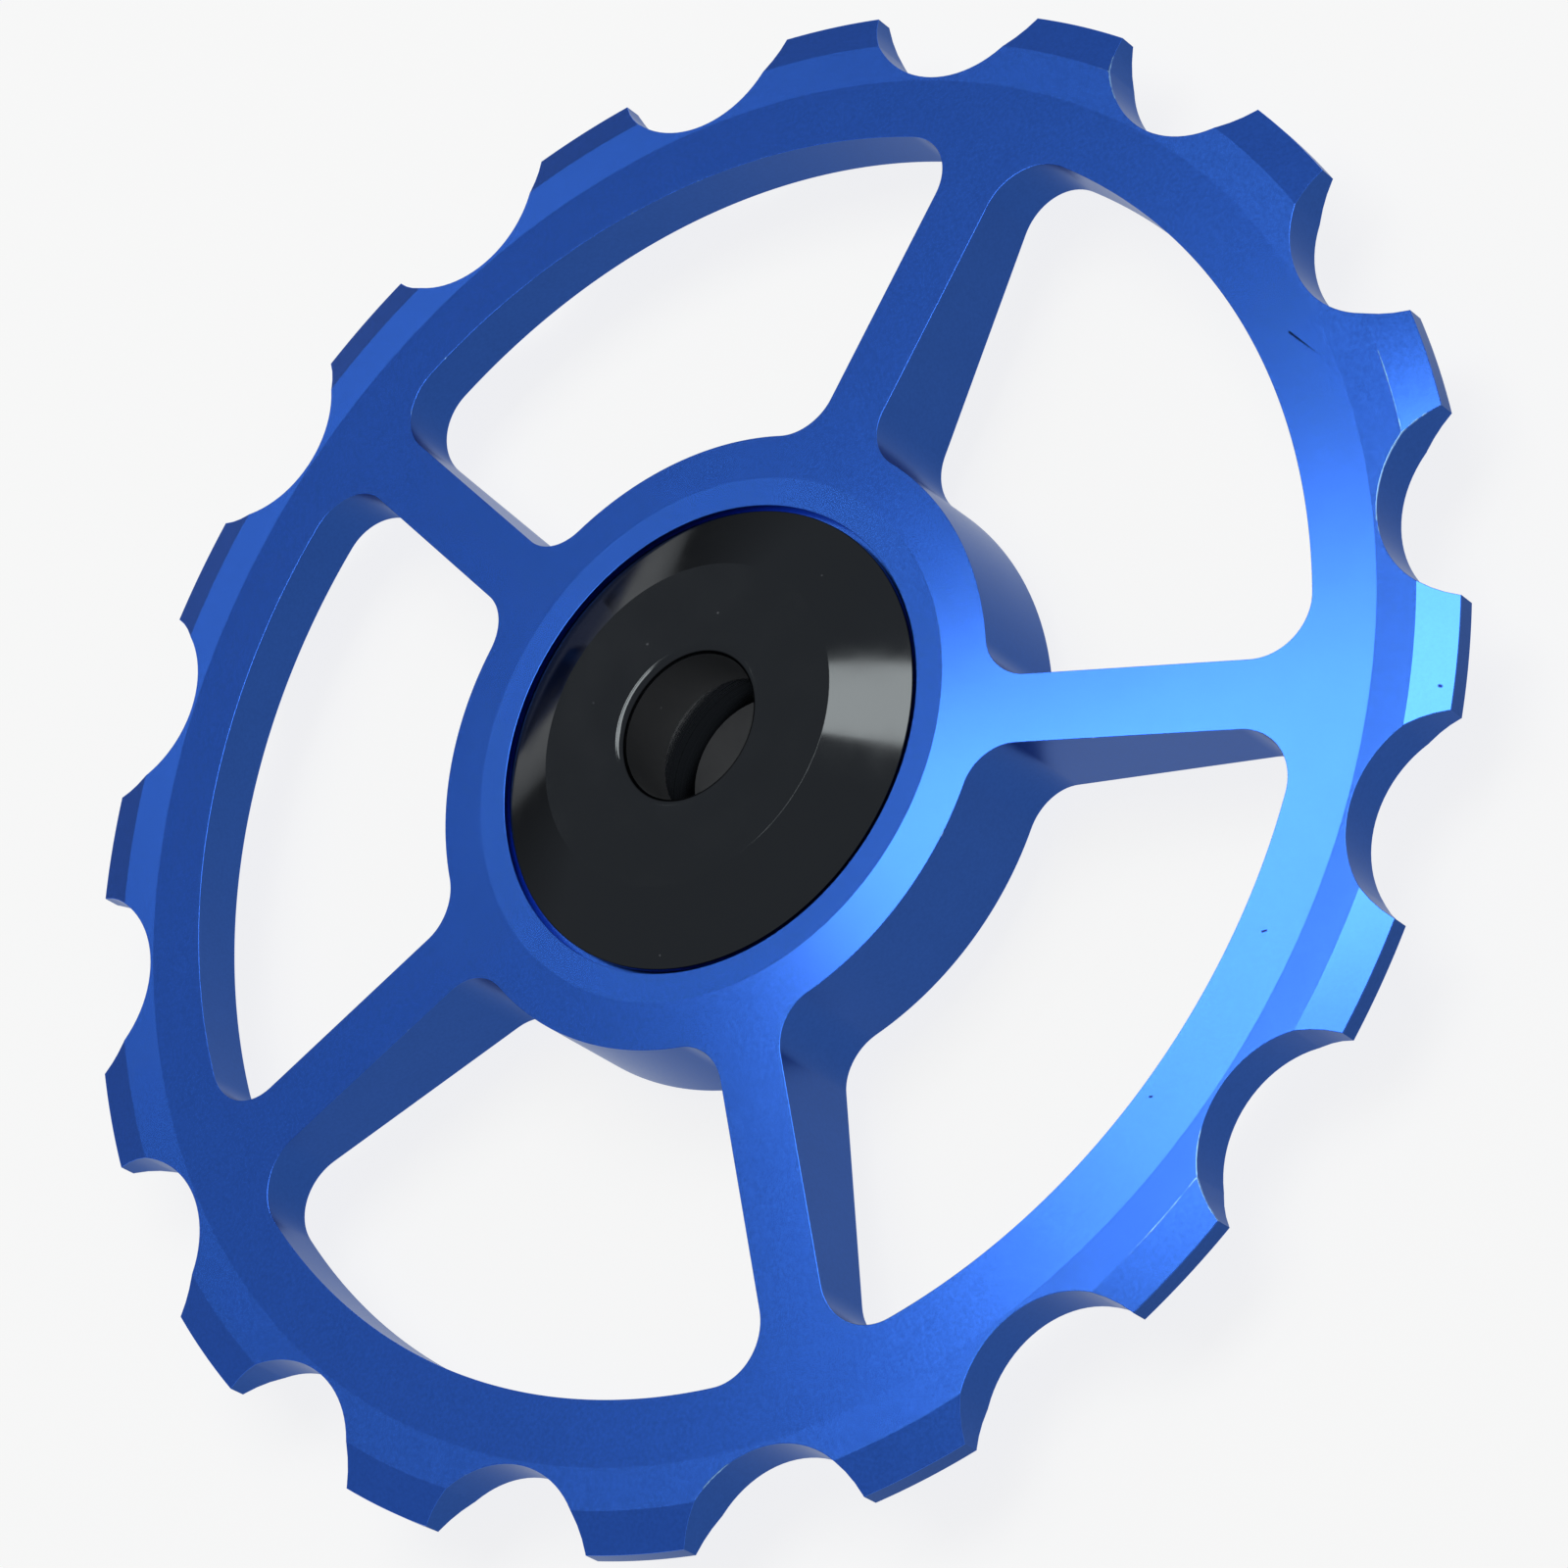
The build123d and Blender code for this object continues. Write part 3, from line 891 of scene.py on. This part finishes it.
def add_floor(colours):
    """A level floor under the wheel."""
    level, half = CAD_BOX[0].z, FLOOR_HALF
    corners = [(-half, -half, level), (half, -half, level), (half, half, level), (-half, half, level)]
    mesh = bpy.data.meshes.new("floor")
    mesh.from_pydata(corners, [], [(0, 1, 2, 3)])
    mesh.materials.append(studio_paper(colours))
    floor = bpy.data.objects.new("floor", mesh)
    bpy.context.scene.collection.objects.link(floor)


def add_studio():
    """A plain bright surround that darkens towards the floor."""
    world = bpy.data.worlds.new("studio")
    world.use_nodes = True
    tree = world.node_tree
    background = tree.nodes["Background"]
    background.inputs["Color"].default_value = rgba(linear(STUDIO_COLOUR))
    coords = node(tree, "ShaderNodeTexCoord")
    parts = node(tree, "ShaderNodeSeparateXYZ", {"Vector": coords.outputs["Generated"]})
    rise = {
        "From Max": math.sin(math.radians(LOW_ELEVATION)),
        "To Min": LOW_SHARE * WORLD_STRENGTH,
        "To Max": WORLD_STRENGTH,
    }
    level = node(tree, "ShaderNodeMapRange", {"Value": parts.outputs["Z"], **rise})
    tree.links.new(level.outputs["Result"], background.inputs["Strength"])
    bpy.context.scene.world = world


class JOCKEY_OT_wheel(bpy.types.Operator):
    """Build the toothed wheel with its spokes and hub"""

    bl_idname = "jockey.wheel"
    bl_label = "Toothed wheel"

    def execute(self, context):
        scene = context.scene
        shape = WheelShape(scene.jockey_wheel)
        marks = []
        for start, end, half_width in MARKS:
            height = float(shape.height(math.hypot(*start) * MM)) / MM
            marks.append(((*start, height), (*end, height), half_width))
        material = blue_anodised_aluminium(scene.jockey_colours, marks)
        piece = mesh_piece("toothed_wheel", shape.patches(), material)
        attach(piece, "wheel")
        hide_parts("pulley_wheel")
        return {"FINISHED"}


class JOCKEY_OT_caps(bpy.types.Operator):
    """Build the two end caps"""

    bl_idname = "jockey.caps"
    bl_label = "End caps"

    def execute(self, context):
        scene = context.scene
        material = black_anodised_aluminium(scene.jockey_colours)
        front = cap_patches(scene.jockey_caps)
        for name, patches in (("front", front), ("rear", mirrored(front))):
            piece = mesh_piece(f"{name}_cap", patches, material)
            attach(piece, "axle_set")
            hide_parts(f"{name}_end_cap")
        return {"FINISHED"}


class JOCKEY_OT_bearing(bpy.types.Operator):
    """Finish the pieces of the ball bearing"""

    bl_idname = "jockey.bearing"
    bl_label = "Ball bearing"

    def execute(self, context):
        colours = context.scene.jockey_colours
        steel = bearing_steel(colours)
        # The mould leaves a fine, even grain on the cage
        nylon = grained(
            "nylon_moulded", colours.cage, colours.cage_grain,
            grain_size=0.3, polish=(0.42, 0.55), depth=0.01 * MM,
        )
        # Rubber is the dullest of the pieces, and its grain the deepest
        rubber = grained(
            "nitrile_rubber_moulded", colours.seal, colours.seal_grain,
            grain_size=0.2, polish=(0.55, 0.7), depth=0.02 * MM,
        )
        # Lapping leaves the balls all but mirror-smooth
        ceramic = grained(
            "zirconia_lapped", colours.balls, colours.balls_grain,
            grain_size=0.5, polish=(0.05, 0.1), depth=0.0005 * MM,
        )
        finishes = {
            "bearing_outer_ring": steel,
            "bearing_inner_ring": steel,
            "ball_cage": nylon,
            "front_bearing_seal": rubber,
            "rear_bearing_seal": rubber,
        }
        balls = [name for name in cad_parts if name.startswith("ball_") and name not in finishes]
        finishes.update(dict.fromkeys(balls, ceramic))
        for name, material in finishes.items():
            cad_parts[name].data.materials[0] = material
        return {"FINISHED"}


class JOCKEY_OT_stage(bpy.types.Operator):
    """Add the floor, the soft lamps and the camera"""

    bl_idname = "jockey.stage"
    bl_label = "Stage"

    def execute(self, context):
        scene = context.scene
        add_floor(scene.jockey_colours)
        add_studio()
        for box in SOFTBOXES:
            add_softbox(box)
        scene.view_settings.view_transform = "Standard"
        add_camera()
        return {"FINISHED"}


STEPS = (JOCKEY_OT_wheel, JOCKEY_OT_caps, JOCKEY_OT_bearing, JOCKEY_OT_stage)


class JOCKEY_PT_panel(bpy.types.Panel):
    """The wheel's sizes and colours, and the steps that build it"""

    bl_idname = "JOCKEY_PT_panel"
    bl_label = "Jockey wheel"
    bl_space_type = "VIEW_3D"
    bl_region_type = "UI"
    bl_category = "Jockey wheel"

    def draw(self, context):
        scene = context.scene
        for group in (scene.jockey_wheel, scene.jockey_caps, scene.jockey_colours):
            column = self.layout.box().column()
            for name in group.__annotations__:
                column.prop(group, name)
        for step in STEPS:
            self.layout.operator(step.bl_idname)


CLASSES = (WheelSizes, CapSizes, FinishColours, *STEPS, JOCKEY_PT_panel)


def register():
    """Add the classes, and the sizes and colours to the scene."""
    for item in CLASSES:
        bpy.utils.register_class(item)
    bpy.types.Scene.jockey_wheel = bpy.props.PointerProperty(type=WheelSizes)
    bpy.types.Scene.jockey_caps = bpy.props.PointerProperty(type=CapSizes)
    bpy.types.Scene.jockey_colours = bpy.props.PointerProperty(type=FinishColours)


def unregister():
    """Take the sizes, the colours and the classes away again."""
    del bpy.types.Scene.jockey_colours
    del bpy.types.Scene.jockey_caps
    del bpy.types.Scene.jockey_wheel
    for item in reversed(CLASSES):
        bpy.utils.unregister_class(item)


def main():
    """Register the classes, and build every piece and the stage."""
    register()
    bpy.ops.jockey.wheel()
    bpy.ops.jockey.caps()
    bpy.ops.jockey.bearing()
    bpy.ops.jockey.stage()


if __name__ == "__main__":
    main()
